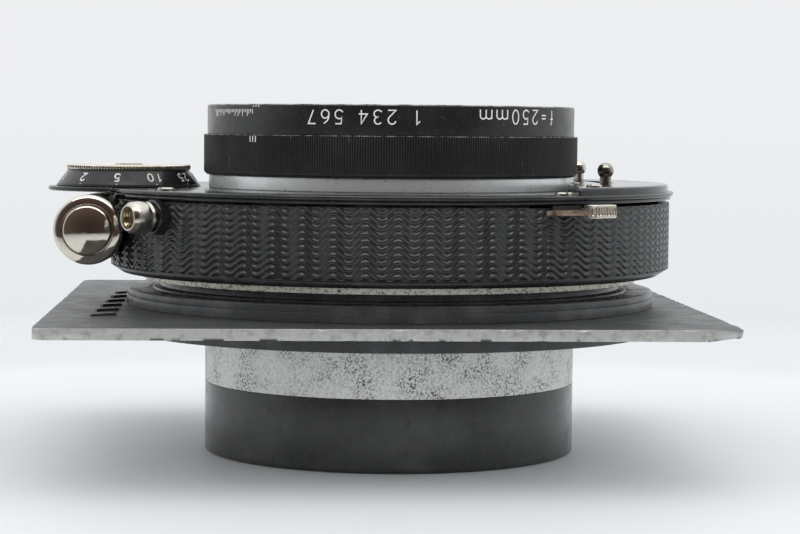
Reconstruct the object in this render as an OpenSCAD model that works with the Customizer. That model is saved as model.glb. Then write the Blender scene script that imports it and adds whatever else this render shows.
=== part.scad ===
// Large-format lens in a dial-set leaf shutter with an air cylinder, on its square lens board.
// Origin: optical axis at the rear rim's plane. +Z runs forward along the optical axis,
// and the speed dial and the air cylinder lie towards -X.

/* [Lens board] */
// Side of the square lens board
board_side = 114.5; // [112:0.5:118]
// Thickness of the lens board
board_t = 1.95; // [1.6:0.05:2.4]
// How far the lens is turned on its board, in degrees
board_turn = 3.4; // [0:0.1:6]
// How far the board's centre lies from the optical axis, along its own -X
board_shift = 2.9; // [0:0.1:4]

/* [Shutter] */
// Radius of the shutter housing's rim
housing_r = 51; // [50.6:0.1:51.4]
// Radius of the front plate's upper lip
plate_r = 51.7; // [51.5:0.1:52]
// Radius of the clear opening behind the blades
opening_r = 22.5; // [20:0.5:23]
// Number of iris blades
iris_blades = 8; // [6:1:8]
// Number of shutter blades
shutter_blades = 5; // [4:1:5]

/* [Speed dial] */
// Distance of the dial's centre from the optical axis
dial_x = 48.1; // [47.5:0.1:48.5]
// Radius of the dial's black skirt at its foot
dial_foot_r = 13.15; // [12.8:0.05:13.4]
// Radius of the dial's milled top disc
dial_top_r = 11.3; // [11:0.1:11.6]

/* [Air cylinder] */
// Distance of the cylinder's axis from the optical axis
cyl_x = 52.3; // [52:0.1:52.6]
// Height of the cylinder's axis
cyl_z = 40.9; // [40.6:0.1:40.9]
// Outer radius of the cylinder
cyl_r = 6.05; // [5.9:0.05:6.05]
// Half the length of the cylinder's tube
cyl_half = 22.5; // [21:0.5:24]

/* [Lens cells] */
// Outer radius of the name ring
name_r = 33.55; // [33.3:0.05:33.8]
// Outer radius of the ribbed grip ring
grip_r = 34.2; // [34:0.05:34.5]
// Outer radius of the rear barrel
rear_r = 33.85; // [33.5:0.05:33.9]
// Outer radius of the rear hood
hood_r = 33.85; // [33.8:0.05:34.2]

/* [Hidden] */
$fn = 96;

// Heights above the rear rim, from the back to the front
hood_top = 12.8;
tube_foot = 22;
nut_foot = 22.1;
board_foot = 25;
board_top = board_foot + board_t;
seat_t = 0.15;
flange_step = 28.6;
flange_top = 29.85;
back_ring_foot = 31.5;
housing_foot = 32.8;
floor_top = 34.4;
housing_top = 46.5;
lip_step = 47.15;
plate_top = 47.95;
cover_top = 49.25;
neck_top = 50.35;
grip_top = 57.6;
name_top = 62.95;

// Radii shared by neighbouring parts, and the small gaps between them
slip = 0.05;
tube_r = 32.25;
thread_r = 30.45;
flange_r = 48.15;
collar_r = 42;
nickel_r = 44.95;
wall_t = 2.2;
chamfer = 2;

// Speed dial
disc_t = 0.85;
skirt_foot = plate_top + 0.05;
skirt_top = 51;
lobe_r = 14.6;
stud_r = 1.6;

// Blades: each lies on a level of its own
blade_t = 0.12;
iris_stud_r = 36.8;
iris_level = 35.15;
iris_pitch = 0.2;
iris_ring_z = 36.9;
iris_ring_t = 0.5;
shutter_stud_r = 38;
shutter_level = 38.5;
shutter_pitch = 0.3;
blade_outer_r = 34.6;
blade_pin_r = 0.6;
shutter_closed = 37;

// Levers, as angles about the optical axis
tab_angle = -49.4;
lever_travel = 50;
strip_z = 44.8;
strip_t = 0.8;
cock_angle = -2.9;
cock_travel = 24;
cock_r = 39.4;
release_angle = 34.3;
release_travel = 10;
release_r = 44.3;
knob_z = 51.5;
knob_r = 1.5;
neck_r = 0.9;
slot_w = 3.2;

// Cable release socket
socket_angle = 219.5;
socket_z = 43.5;
socket_r = 2.75;
socket_hole_r = 1.7;
socket_mouth = 57.2;
socket_floor = 51.9;
plunger_r = 0.9;

// Screws on the front plate and on the lever cover
plate_screw_r = 48.6;
plate_screw_angles = [218, 306.6, 128, 62];
cover_screw_angles = [-43.5, 44];
cover_screw_r = 47.6;
cover_half_angle = 51;
cover_end_x = 31.5;
cover_inner_r = 34.6;
cover_outer_r = 50.7;

// ---------- helpers ----------

module ring(outer, inner, low, high) {
    translate([0, 0, low])
        difference() {
            cylinder(r = outer, h = high - low);
            translate([0, 0, -1]) cylinder(r = inner, h = high - low + 2);
        }
}

// Flat wedge from angle a to angle b, used to cut arcs out of rings
module wedge(a, b, reach) {
    steps = ceil((b - a) / 30);
    polygon(concat([[0, 0]], [for (i = [0:steps]) let (t = a + (b - a) * i / steps)
        [reach * cos(t), reach * sin(t)]]));
}

module arc_band(outer, inner, a, b, low, high) {
    intersection() {
        ring(outer, inner, low, high);
        translate([0, 0, low]) linear_extrude(high - low) wedge(a, b, outer * 1.3);
    }
}

// Arc-shaped slot with round ends
module arc_slot(r, w, a, b, low, high) {
    arc_band(r + w / 2, r - w / 2, a, b, low, high);
    for (t = [a, b])
        translate([r * cos(t), r * sin(t), low]) cylinder(r = w / 2 - 0.05, h = high - low, $fn = 32);
}

// Cheese-head screw with its slot, head underside at z = 0
module screw(head_r, head_h, shank_r, shank_l, turn) {
    difference() {
        union() {
            cylinder(r = head_r, h = head_h * 0.6, $fn = 48);
            translate([0, 0, head_h * 0.6])
                cylinder(r1 = head_r, r2 = head_r * 0.8, h = head_h * 0.4, $fn = 48);
            translate([0, 0, -shank_l]) cylinder(r = shank_r, h = shank_l + 0.01, $fn = 32);
        }
        rotate(turn) translate([-head_r - 1, -0.2, head_h - 0.35]) cube([2 * head_r + 2, 0.4, 1]);
    }
}

// Convex lens element: two spheres bound a straight edge
module element(edge_r, edge_low, edge_high, front_radius, back_radius) {
    front_sag = front_radius - sqrt(front_radius * front_radius - edge_r * edge_r);
    back_sag = back_radius - sqrt(back_radius * back_radius - edge_r * edge_r);
    intersection() {
        translate([0, 0, edge_low - back_sag])
            cylinder(r = edge_r, h = edge_high - edge_low + front_sag + back_sag);
        translate([0, 0, edge_high + front_sag - front_radius]) sphere(r = front_radius, $fn = 360);
        translate([0, 0, edge_low - back_sag + back_radius]) sphere(r = back_radius, $fn = 360);
    }
}

// Curved blade that hangs on a stud at angle 0; swing turns it inward about the stud
module blade(stud_r, inner_r, span, swing, level) {
    translate([stud_r, 0, level]) rotate(swing) translate([-stud_r, 0, 0])
        linear_extrude(blade_t)
            difference() {
                union() {
                    intersection() {
                        difference() {
                            circle(r = blade_outer_r);
                            circle(r = inner_r);
                        }
                        wedge(-2, span, blade_outer_r * 1.4);
                    }
                    translate([stud_r, 0]) circle(r = 1.4, $fn = 32);
                    translate([blade_outer_r - 1, -0.9]) square([stud_r - blade_outer_r + 1, 1.8]);
                }
                translate([stud_r, 0]) circle(r = blade_pin_r + slip, $fn = 32);
            }
}

// ---------- board and its clamping rings ----------

module lens_board() {
    corner = 2.5;
    color("dimgray") translate([0, 0, board_foot])
        difference() {
            rotate(board_turn) translate([-board_shift, 0, 0]) linear_extrude(board_t)
                union() {
                    square([board_side - 2 * corner, board_side], center = true);
                    square([board_side, board_side - 2 * corner], center = true);
                    for (x = [-1, 1], y = [-1, 1])
                        translate([x, y] * (board_side / 2 - corner)) circle(r = corner, $fn = 32);
                }
            translate([0, 0, -1]) cylinder(r = tube_r + slip, h = board_t + 2);
            // shallow seat for the retaining ring
            translate([0, 0, -1]) cylinder(r = flange_r + 0.15, h = 1 + seat_t);
        }
}

module mounting_flange() {
    color("#202224") ring(flange_r, tube_r + slip, board_top, flange_step);
}

module flange_collar() {
    edge = 0.35;
    color("#1c1e20") difference() {
        union() {
            translate([0, 0, flange_step]) cylinder(r = flange_r - 0.1, h = flange_top - edge - flange_step);
            translate([0, 0, flange_top - edge])
                cylinder(r1 = flange_r - 0.1, r2 = flange_r - 0.1 - edge, h = edge);
            translate([0, 0, flange_step]) cylinder(r = collar_r, h = back_ring_foot - flange_step);
        }
        translate([0, 0, flange_step - 1]) cylinder(r = tube_r + slip, h = 6);
    }
}

module retaining_ring() {
    notch_w = 4;
    color("#202224") difference() {
        ring(flange_r, tube_r + slip, nut_foot, board_foot + seat_t);
        for (t = [45, 225])
            rotate(t) translate([tube_r + 3, -notch_w / 2, nut_foot - 1]) cube([7, notch_w, 2]);
    }
}

module back_ring() {
    color("silver") ring(nickel_r, tube_r + slip, back_ring_foot, housing_foot);
}

// ---------- shutter case ----------

module cylinder_channel(r) {
    translate([-cyl_x, 0, cyl_z]) rotate([90, 0, 0]) cylinder(r = r, h = 60, center = true);
}

module shutter_housing() {
    wall_in = housing_r - wall_t;
    cradle_x = 44.8;
    color("#222426") difference() {
        union() {
            rotate_extrude() polygon([
                [thread_r, tube_foot], [tube_r, tube_foot], [tube_r, housing_foot],
                [housing_r - chamfer, housing_foot], [housing_r, housing_foot + 1.3],
                [housing_r, housing_top], [wall_in, housing_top], [wall_in, floor_top],
                [opening_r + 0.3, floor_top], [opening_r + 0.3, housing_foot], [thread_r, housing_foot]]);
            intersection() {
                translate([-housing_r, -21, floor_top - 0.5])
                    cube([housing_r - cradle_x, 42, housing_top - floor_top + 0.5]);
                cylinder(r = housing_r - 0.5, h = housing_top);
            }
        }
        cylinder_channel(cyl_r + 0.02);
        // slot for the piston's pin
        translate([-housing_r, -14, cyl_z - 1]) cube([housing_r - cradle_x + 1, 28, 2]);
        // gap under the front plate that the aperture lever runs in
        translate([0, 0, housing_top - 0.55]) linear_extrude(1)
            difference() {
                wedge(tab_angle - 14, tab_angle + lever_travel + 6, housing_r * 1.4);
                circle(r = wall_in - 2);
            }
        // cable release plunger
        rotate(socket_angle) translate([wall_in - 2, 0, socket_z]) rotate([0, 90, 0])
            cylinder(r = plunger_r + slip, h = 8, $fn = 32);
    }
}

module lever_slots(low, high) {
    arc_slot(cock_r, slot_w, cock_angle, cock_angle + cock_travel, low, high);
    arc_slot(release_r, slot_w, release_angle, release_angle + release_travel, low, high);
}

module front_plate() {
    collar_foot = 41.3;
    color("#17191b") difference() {
        union() {
            difference() {
                translate([0, 0, housing_top]) cylinder(r = plate_r - 0.5, h = lip_step - housing_top);
                // the lower lip stops short of the air cylinder
                translate([-plate_r - 10, -22, housing_top - 1]) cube([plate_r - 35.5, 44, 5]);
            }
            translate([0, 0, lip_step]) cylinder(r = plate_r, h = plate_top - lip_step);
            translate([-dial_x, 0, lip_step]) cylinder(r = lobe_r, h = plate_top - lip_step);
            translate([0, 0, collar_foot]) cylinder(r = tube_r, h = housing_top - collar_foot + 0.1);
        }
        translate([0, 0, collar_foot - 1]) cylinder(r = thread_r, h = 10);
        lever_slots(housing_top - 1, plate_top + 1);
        translate([-dial_x, 0, lip_step - 2]) cylinder(r = stud_r + 0.01, h = 4, $fn = 32);
        for (t = plate_screw_angles)
            rotate(t) translate([plate_screw_r, 0, housing_top - 1]) cylinder(r = 0.8, h = 4, $fn = 32);
        for (t = cover_screw_angles)
            rotate(t) translate([cover_screw_r, 0, housing_top - 1]) cylinder(r = 0.6, h = 4, $fn = 32);
    }
}

module plate_screws() {
    color("silver") for (t = plate_screw_angles)
        rotate(t) translate([plate_screw_r, 0, plate_top]) screw(1.5, 0.55, 0.75, 1.4, t * 1.7);
}

module lever_cover() {
    edge = 0.3;
    color("#17191b") difference() {
        union() {
            arc_band(cover_outer_r, cover_inner_r, -cover_half_angle, cover_half_angle,
                     plate_top, cover_top - edge);
            arc_band(cover_outer_r - edge, cover_inner_r, -cover_half_angle, cover_half_angle,
                     cover_top - edge - 0.01, cover_top);
        }
        lever_slots(plate_top - 1, cover_top + 1);
        // straight end beside the neck
        translate([0, -60, plate_top - 1]) cube([cover_end_x, 60, 4]);
        for (t = cover_screw_angles)
            rotate(t) translate([cover_screw_r, 0, plate_top - 1]) cylinder(r = 0.6, h = 4, $fn = 32);
    }
}

module cover_screws() {
    color("silver") for (t = cover_screw_angles)
        rotate(t) translate([cover_screw_r, 0, cover_top]) screw(1.35, 0.45, 0.55, 2, t * 2.3 + 20);
}

// ---------- air cylinder ----------

// Places a shape so that its +Z runs along -Y from the cylinder's middle
module along_cylinder() {
    translate([-cyl_x, 0, cyl_z]) rotate([90, 0, 0]) children();
}

cyl_bore = 5.1;

module air_cylinder() {
    color("silver") along_cylinder() difference() {
        translate([0, 0, -cyl_half]) cylinder(r = cyl_r, h = 2 * cyl_half);
        translate([0, 0, -cyl_half - 1]) cylinder(r = cyl_bore, h = 2 * cyl_half + 2);
        // slot for the piston's pin, on the side towards the optical axis
        translate([0, -0.8, -13]) cube([10, 1.6, 26]);
    }
}

// Stepped dome: a rounded outer shoulder and a raised round boss
module cap(boss_h) {
    skirt = 1.6;
    intersection() {
        cylinder(r = cyl_r + 0.02, h = skirt + boss_h);
        translate([0, 0, skirt - 5.2]) sphere(r = 8, $fn = 96);
    }
    translate([0, 0, skirt + 0.8]) intersection() {
        cylinder(r = 4.2, h = boss_h);
        translate([0, 0, boss_h - 7.2]) sphere(r = 7, $fn = 96);
    }
    translate([0, 0, -2]) cylinder(r = cyl_bore - 0.02, h = 2.1);
}

module cylinder_cap_front() {
    color("#d8d6d0") along_cylinder() translate([0, 0, cyl_half]) cap(2.6);
}

module cylinder_cap_rear() {
    color("#d8d6d0") along_cylinder() mirror([0, 0, 1]) translate([0, 0, cyl_half]) cap(1.6);
}

// At rest the piston stands near the front end; it is drawn back as the shutter is cocked
piston_rest = 10;
piston_half = 3;
pin_r = 0.6;

module piston() {
    color("#9a8f6a") along_cylinder() translate([0, 0, piston_rest - piston_half]) difference() {
        cylinder(r = cyl_bore - 0.05, h = 2 * piston_half);
        translate([0, 0, -1]) cylinder(r = 3.6, h = 4.5);
        translate([3, 0, piston_half + 1.5]) rotate([0, 90, 0]) cylinder(r = pin_r + slip, h = 4, $fn = 32);
    }
}

module piston_pin() {
    reach = cyl_x - 43.6;
    color("silver") along_cylinder() translate([4, 0, piston_rest + 1.5]) rotate([0, 90, 0])
        cylinder(r = pin_r, h = reach - 4, $fn = 32);
}

// ---------- cable release ----------

module at_socket() {
    rotate(socket_angle) translate([0, 0, socket_z]) rotate([0, 90, 0]) children();
}

module socket_base() {
    color("#26282a") at_socket() difference() {
        translate([0, 0, housing_r - 0.6]) cylinder(r = 3, h = 2.2, $fn = 48);
        translate([0, 0, housing_r - 2]) cylinder(r = 2.05, h = 5, $fn = 48);
        translate([0, 0, 0]) cylinder(r = housing_r - 0.02, h = 0.01);
    }
}

module cable_release_socket() {
    color("silver") at_socket() difference() {
        union() {
            translate([0, 0, housing_r + 0.02]) cylinder(r = 2, h = 2.6, $fn = 48);
            intersection() {
                translate([0, 0, 53.3]) cylinder(r = socket_r, h = socket_mouth - 53.3, $fn = 48);
                translate([0, 0, 55.1]) sphere(r = 3.3, $fn = 48);
            }
        }
        translate([0, 0, socket_floor]) cylinder(r = socket_hole_r, h = 10, $fn = 48);
        translate([0, 0, 50]) cylinder(r = plunger_r + slip, h = 4, $fn = 32);
    }
}

module release_plunger() {
    color("silver") at_socket() translate([0, 0, 46.2]) cylinder(r = plunger_r, h = 5.4, $fn = 32);
}

// ---------- speed dial ----------

module dial_stud() {
    color("silver") translate([-dial_x, 0, 0]) difference() {
        union() {
            translate([0, 0, lip_step]) cylinder(r = stud_r, h = skirt_top + disc_t - lip_step, $fn = 48);
            translate([0, 0, skirt_top + disc_t + 0.03]) cylinder(r = 2.6, h = 0.17, $fn = 48);
            translate([0, 0, skirt_top + disc_t]) cylinder(r = stud_r, h = 0.1, $fn = 48);
        }
        translate([-3, -0.25, skirt_top + disc_t + 0.1]) cube([6, 0.5, 1]);
    }
}

module speed_dial() {
    color("#1a1c1e") translate([-dial_x, 0, 0]) difference() {
        union() {
            translate([0, 0, skirt_foot]) cylinder(r = dial_foot_r, h = 0.25);
            translate([0, 0, skirt_foot + 0.25])
                cylinder(r1 = dial_foot_r, r2 = dial_top_r - 0.3, h = skirt_top - skirt_foot - 0.25);
        }
        translate([0, 0, skirt_foot - 1]) cylinder(r = stud_r + slip, h = 6, $fn = 48);
    }
}

module dial_disc() {
    dish_r = 9.6;
    color("silver") translate([-dial_x, 0, skirt_top]) difference() {
        cylinder(r = dial_top_r, h = disc_t);
        translate([0, 0, disc_t - 0.2]) difference() {
            cylinder(r = dish_r, h = 1);
            translate([0, 0, -0.1]) cylinder(r = 3.4, h = 2);
        }
        translate([0, 0, -1]) cylinder(r = stud_r + slip, h = 4, $fn = 48);
    }
}

// ---------- iris ----------

module iris_base() {
    color("#3a3c3e") {
        ring(39.9, opening_r + 0.3, floor_top, floor_top + 0.6);
        for (i = [0:iris_blades - 1])
            rotate(i * 360 / iris_blades) translate([iris_stud_r, 0, floor_top + 0.5])
                cylinder(r = blade_pin_r, h = iris_level + (i + 0.5) * iris_pitch + 0.02 - floor_top - 0.5,
                         $fn = 32);
    }
}

module iris_blade(i) {
    color("#2c2e30") rotate(i * 360 / iris_blades)
        blade(iris_stud_r, opening_r + 0.5, 92, 0, iris_level + i * iris_pitch);
}

module aperture_ring() {
    color("#55585a") ring(39.6, opening_r + 1.5, iris_ring_z, iris_ring_z + iris_ring_t);
}

// Thin arm from the ring out through the gap, a web outside the rim and the pointer strip
module aperture_lever() {
    arm_angle = tab_angle - 6;
    arm_z = housing_top - 0.45;
    arm_t = 0.32;
    arm_w = 3;
    arm_foot = iris_ring_z + iris_ring_t;
    color("#b9ad93") {
        rotate(arm_angle) {
            translate([38.4, -arm_w / 2, arm_foot]) cube([5.9, arm_w, arm_t]);
            translate([43.4, -arm_w / 2, arm_foot]) cube([0.9, arm_w, arm_z - arm_foot + arm_t]);
            translate([43.4, -arm_w / 2, arm_z]) cube([8.4, arm_w, arm_t]);
        }
        arc_band(51.9, 51.3, arm_angle - 3.5, arm_angle + 3, strip_z, arm_z + arm_t);
        pointer_strip();
    }
}

// Point at a radius and an angle past the tab
function near_tab(r, t) = [r * cos(tab_angle + t), r * sin(tab_angle + t)];

// Flat strip with a pointed tip, tangent to the rim, that carries the finger tab
module pointer_strip() {
    translate([0, 0, strip_z]) linear_extrude(strip_t)
        polygon([near_tab(52.1, -11), near_tab(51.5, -6), near_tab(51.5, -3), near_tab(53.6, 0),
                 near_tab(53.8, 2.4), near_tab(55.6, 2), near_tab(55.3, -0.5), near_tab(53.5, -8.5)]);
}

module aperture_tab() {
    teeth = 9;
    tab_w = 5.5;
    color("silver") rotate(tab_angle) difference() {
        translate([53.2, -tab_w / 2, strip_z + strip_t]) cube([3, tab_w, 0.95]);
        for (i = [0:teeth])
            translate([56.3, -tab_w / 2 + i * tab_w / teeth, 45]) cylinder(r = 0.28, h = 3, $fn = 16);
    }
}

// ---------- shutter blades and their drive ----------

module shutter_base() {
    base_low = 37.9;
    color("#3a3c3e") {
        ring(41.6, opening_r + 0.3, base_low, shutter_level - 0.15);
        for (t = [80, 180, 280])
            rotate(t) translate([40.8, 0, floor_top]) cylinder(r = 0.7, h = base_low - floor_top + 0.1, $fn = 32);
        for (i = [0:shutter_blades - 1])
            rotate(i * 360 / shutter_blades) translate([shutter_stud_r, 0, base_low + 0.2])
                cylinder(r = blade_pin_r, h = shutter_level + (i + 0.5) * shutter_pitch - base_low - 0.2,
                         $fn = 32);
    }
}

module shutter_blade(i) {
    color("#34363a") rotate(i * 360 / shutter_blades)
        blade(shutter_stud_r, opening_r + 0.4, 118, shutter_closed, shutter_level + i * shutter_pitch);
}

module main_spring() {
    color("#6a7076") arc_band(47.2, 46.4, 62, 150, 36, 40);
}

// Ball knob on a short neck that stands on a ring
module ball_knob(r, angle, foot) {
    rotate(angle) translate([r, 0, 0]) {
        translate([0, 0, foot]) cylinder(r = neck_r, h = knob_z - foot, $fn = 32);
        translate([0, 0, knob_z]) sphere(r = knob_r, $fn = 48);
        translate([0, 0, cover_top - 0.6]) cylinder(r1 = 1.15, r2 = neck_r, h = 1.2, $fn = 32);
    }
}

module cocking_ring() {
    color("#6d6a60") ring(41.4, 33, 44.3, 45.3);
}

module cocking_knob() {
    color("#6e665a") ball_knob(cock_r, cock_angle, 45.3);
}

module release_ring() {
    color("#6d6a60") {
        ring(40.8, 33, 42.5, 43.5);
        rotate(release_angle) translate([40, -1.4, 42.5]) cube([5.8, 2.8, 1]);
    }
}

module release_knob() {
    color("#cfcabd") ball_knob(release_r, release_angle, 43.5);
}

// ---------- front cell ----------

module front_barrel() {
    color("#b8bcc0") rotate_extrude() polygon([
        [27.4, 41.6], [thread_r - slip, 41.6], [thread_r - slip, plate_top], [33.3, plate_top],
        [33.3, neck_top], [32.4, neck_top], [32.4, 58.2], [29.4, 58.2], [29.4, 49.34],
        [27, 49.34], [27, 47.6], [27.4, 47.6]]);
}

module grip_ring() {
    edge = 0.5;
    color("#1d1f20") difference() {
        union() {
            translate([0, 0, neck_top]) cylinder(r1 = grip_r - edge, r2 = grip_r, h = edge);
            translate([0, 0, neck_top + edge]) cylinder(r = grip_r, h = grip_top - neck_top - edge);
        }
        translate([0, 0, neck_top - 1]) cylinder(r = 32.45, h = 12);
    }
}

filter_r = 31.2;

module name_ring() {
    color("#1d1f20") rotate_extrude() polygon([
        [32.45, grip_top], [name_r, grip_top], [name_r, name_top - 0.25], [name_r - 0.25, name_top],
        [filter_r, name_top], [filter_r, 58.25], [32.45, 58.25]]);
}

module front_element() {
    color("#a8c4c8", 0.5) element(29.3, 49.6, 53.3, 95, 260);
}

module front_lock_ring() {
    color("#1b1c1d") ring(29.35, 27.6, 54, 56.5);
}

module front_spacer() {
    color("#1b1c1d") ring(27.3, 25.6, 44.84, 47.5);
}

module front_inner_element() {
    color("#a8c4c8", 0.5) element(27.3, 42.7, 44.6, 200, 260);
}

// ---------- rear cell ----------

module rear_barrel() {
    color("#b4b4b0") rotate_extrude() polygon([
        [29.6, 10.6], [31.4, 10.6], [31.4, hood_top], [rear_r, hood_top], [rear_r, tube_foot],
        [thread_r - slip, tube_foot], [thread_r - slip, 32.3], [27.4, 32.3], [27.4, 20.4], [26.6, 20.4],
        [26.6, 18.86], [29.6, 18.86]]);
}

module rear_hood() {
    edge = 0.6;
    color("#232526") rotate_extrude() polygon([
        [31.45, 0], [hood_r - edge, 0], [hood_r, edge], [hood_r, hood_top], [31.45, hood_top]]);
}

module rear_element() {
    color("#a8c4c8", 0.5) element(29.5, 15.2, 18.5, 240, 110);
}

module rear_lock_ring() {
    color("#1b1c1d") ring(29.55, 27.4, 11, 13.9);
}

module rear_spacer() {
    color("#1b1c1d") ring(27.35, 25.8, 20.5, 25);
}

module rear_inner_element() {
    color("#a8c4c8", 0.5) element(27.3, 26.2, 28.4, 260, 200);
}

lens_board();
mounting_flange();
flange_collar();
retaining_ring();
back_ring();
shutter_housing();
front_plate();
plate_screws();
lever_cover();
cover_screws();
air_cylinder();
cylinder_cap_front();
cylinder_cap_rear();
piston();
piston_pin();
socket_base();
cable_release_socket();
release_plunger();
dial_stud();
speed_dial();
dial_disc();
iris_base();
iris_blade(0);  // iris_blade_1
iris_blade(1);  // iris_blade_2
iris_blade(2);  // iris_blade_3
iris_blade(3);  // iris_blade_4
iris_blade(4);  // iris_blade_5
iris_blade(5);  // iris_blade_6
iris_blade(6);  // iris_blade_7
iris_blade(7);  // iris_blade_8
aperture_ring();
aperture_lever();
aperture_tab();
shutter_base();
shutter_blade(0);  // shutter_blade_1
shutter_blade(1);  // shutter_blade_2
shutter_blade(2);  // shutter_blade_3
shutter_blade(3);  // shutter_blade_4
shutter_blade(4);  // shutter_blade_5
main_spring();
cocking_ring();
cocking_knob();
release_ring();
release_knob();
front_barrel();
grip_ring();
name_ring();
front_element();
front_inner_element();
front_spacer();
front_lock_ring();
rear_barrel();
rear_hood();
rear_element();
rear_inner_element();
rear_spacer();
rear_lock_ring();
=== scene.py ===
import math
import random

import bmesh
import bpy
from mathutils import Matrix, Vector, noise


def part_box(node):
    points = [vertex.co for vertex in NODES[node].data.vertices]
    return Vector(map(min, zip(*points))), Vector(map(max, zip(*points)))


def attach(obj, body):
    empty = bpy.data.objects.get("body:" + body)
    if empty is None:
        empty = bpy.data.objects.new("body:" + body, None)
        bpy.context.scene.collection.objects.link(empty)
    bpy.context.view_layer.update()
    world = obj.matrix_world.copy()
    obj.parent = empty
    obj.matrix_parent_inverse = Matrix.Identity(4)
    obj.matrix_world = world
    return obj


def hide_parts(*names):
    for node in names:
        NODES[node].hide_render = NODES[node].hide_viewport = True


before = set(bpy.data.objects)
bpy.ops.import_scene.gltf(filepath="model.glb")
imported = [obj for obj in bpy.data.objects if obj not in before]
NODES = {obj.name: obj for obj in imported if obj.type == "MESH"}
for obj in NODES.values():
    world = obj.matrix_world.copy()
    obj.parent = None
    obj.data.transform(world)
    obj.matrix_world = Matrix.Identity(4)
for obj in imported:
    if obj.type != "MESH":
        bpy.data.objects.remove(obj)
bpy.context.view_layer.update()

MM = 0.001

# ---------- sizes, in millimetres ----------

WAVES = 60
WAVE_SWING = 0.68
RIDGE_PITCH = 1.15
RIDGE_DEPTH = 0.42
GRIP_RIBS = 480
DISC_TEETH = 124
RELEASE_ANGLE = 219.5


def low(node):
    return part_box(node)[0] / MM


def high(node):
    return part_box(node)[1] / MM


def radius(node):
    """Outer radius of a node that is turned about the optical axis."""
    return high(node).x


def span(node):
    """Lower end, upper end and radius of such a node."""
    return low(node).z, high(node).z, radius(node)


case_r = radius("shutter_housing")
case_top = high("shutter_housing").z
plate_r = high("front_plate").y
plate_top = high("front_plate").z
cover_top = high("lever_cover").z
dial_x = (low("speed_dial").x + high("speed_dial").x) / 2
dial_r = high("speed_dial").y
lobe_r = dial_x - low("front_plate").x
cylinder_x = (low("air_cylinder").x + high("air_cylinder").x) / 2
cylinder_z = (low("air_cylinder").z + high("air_cylinder").z) / 2
cylinder_r = high("air_cylinder").x - cylinder_x
board_foot = low("lens_board").z
board_top = high("lens_board").z

# ---------- materials ----------


class Finish:
    """A Principled material whose nodes read the object's own coordinates, in millimetres."""

    def __init__(self, name, colour, roughness, metallic=0.0, specular=0.5):
        self.material = bpy.data.materials.new(name)
        self.material.use_nodes = True
        self.nodes = self.material.node_tree.nodes
        self.links = self.material.node_tree.links
        self.shader = self.nodes["Principled BSDF"]
        self.shader.inputs["Base Color"].default_value = (*colour, 1)
        self.shader.inputs["Roughness"].default_value = roughness
        self.shader.inputs["Metallic"].default_value = metallic
        self.shader.inputs["Specular IOR Level"].default_value = specular
        self.colour_now = (*colour, 1)
        self.metal_now = metallic
        self.rough_now = roughness
        self.normal_now = None
        coordinates = self.nodes.new("ShaderNodeTexCoord")
        self.normal = coordinates.outputs["Normal"]
        self.place = self.stretched(coordinates.outputs["Object"], (1 / MM, 1 / MM, 1 / MM))

    def plug(self, source, socket):
        if isinstance(source, bpy.types.NodeSocket):
            self.links.new(source, socket)
        else:
            socket.default_value = source

    def node(self, kind, inputs, output, **settings):
        """One output of a new node, with its inputs linked or set."""
        node = self.nodes.new(kind)
        for setting, value in settings.items():
            setattr(node, setting, value)
        for socket, value in inputs.items():
            self.plug(value, node.inputs[socket])
        return node.outputs[output]

    def stretched(self, vector, scale):
        return self.node("ShaderNodeMapping", {"Scale": scale, "Vector": vector}, "Vector")

    def grain(self, size, detail=3.0, stretch=(1, 1, 1)):
        """Noise whose lumps are about size mm across."""
        place = self.stretched(self.place, stretch)
        return self.node("ShaderNodeTexNoise", {"Scale": 1 / size, "Detail": detail, "Vector": place}, "Fac")

    def ramp(self, value, start, stop, from_value=0.0, to_value=1.0):
        return self.node("ShaderNodeMapRange", {"From Min": start, "From Max": stop, "To Min": from_value,
                                                "To Max": to_value, "Value": value}, "Result")

    def spots(self, grain, start, stop, least=0.0, most=1.0):
        """A range picked out of noise; grain is its size, detail and stretch."""
        return self.ramp(self.grain(*grain), start, stop, least, most)

    def patchy(self, grain, least, most):
        """Roughness that wanders between two values."""
        return self.roughen(self.spots(grain, 0.35, 0.7, least, most))

    def maths(self, operation, first, second=0.0):
        return self.node("ShaderNodeMath", {0: first, 1: second}, "Value", operation=operation)

    def both(self, first, second):
        return self.maths("MULTIPLY", first, second)

    def part(self, vector, letter):
        return self.node("ShaderNodeSeparateXYZ", {"Vector": vector}, letter)

    def height(self):
        return self.part(self.place, "Z")

    def off_axis(self):
        """Distance from the Z axis, in mm."""
        flat = self.stretched(self.place, (1, 1, 0))
        return self.node("ShaderNodeVectorMath", {0: flat}, "Value", operation="LENGTH")

    def tint(self, mask, colour, metallic=None, roughness=None):
        """Where the mask is 1, the surface takes this colour and finish."""
        inputs = {"Factor": mask, 6: self.colour_now, 7: (*colour, 1)}
        self.colour_now = self.node("ShaderNodeMix", inputs, 2, data_type="RGBA")
        self.links.new(self.colour_now, self.shader.inputs["Base Color"])
        if metallic is not None:
            self.metal_now = self.between(mask, self.metal_now, metallic)
            self.links.new(self.metal_now, self.shader.inputs["Metallic"])
        if roughness is not None:
            self.roughen(self.between(mask, self.rough_now, roughness))
        return self

    def between(self, mask, start, stop):
        return self.node("ShaderNodeMix", {0: mask, 2: start, 3: stop}, 0)

    def roughen(self, value):
        self.rough_now = value
        self.links.new(value, self.shader.inputs["Roughness"])
        return self

    def bump(self, height, depth, strength=1.0):
        """Bump whose full height is depth mm."""
        node = self.nodes.new("ShaderNodeBump")
        node.inputs["Strength"].default_value = strength
        node.inputs["Distance"].default_value = depth * MM
        self.links.new(height, node.inputs["Height"])
        if self.normal_now is not None:
            self.links.new(self.normal_now, node.inputs["Normal"])
        self.normal_now = node.outputs["Normal"]
        self.links.new(self.normal_now, self.shader.inputs["Normal"])
        return self


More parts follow.
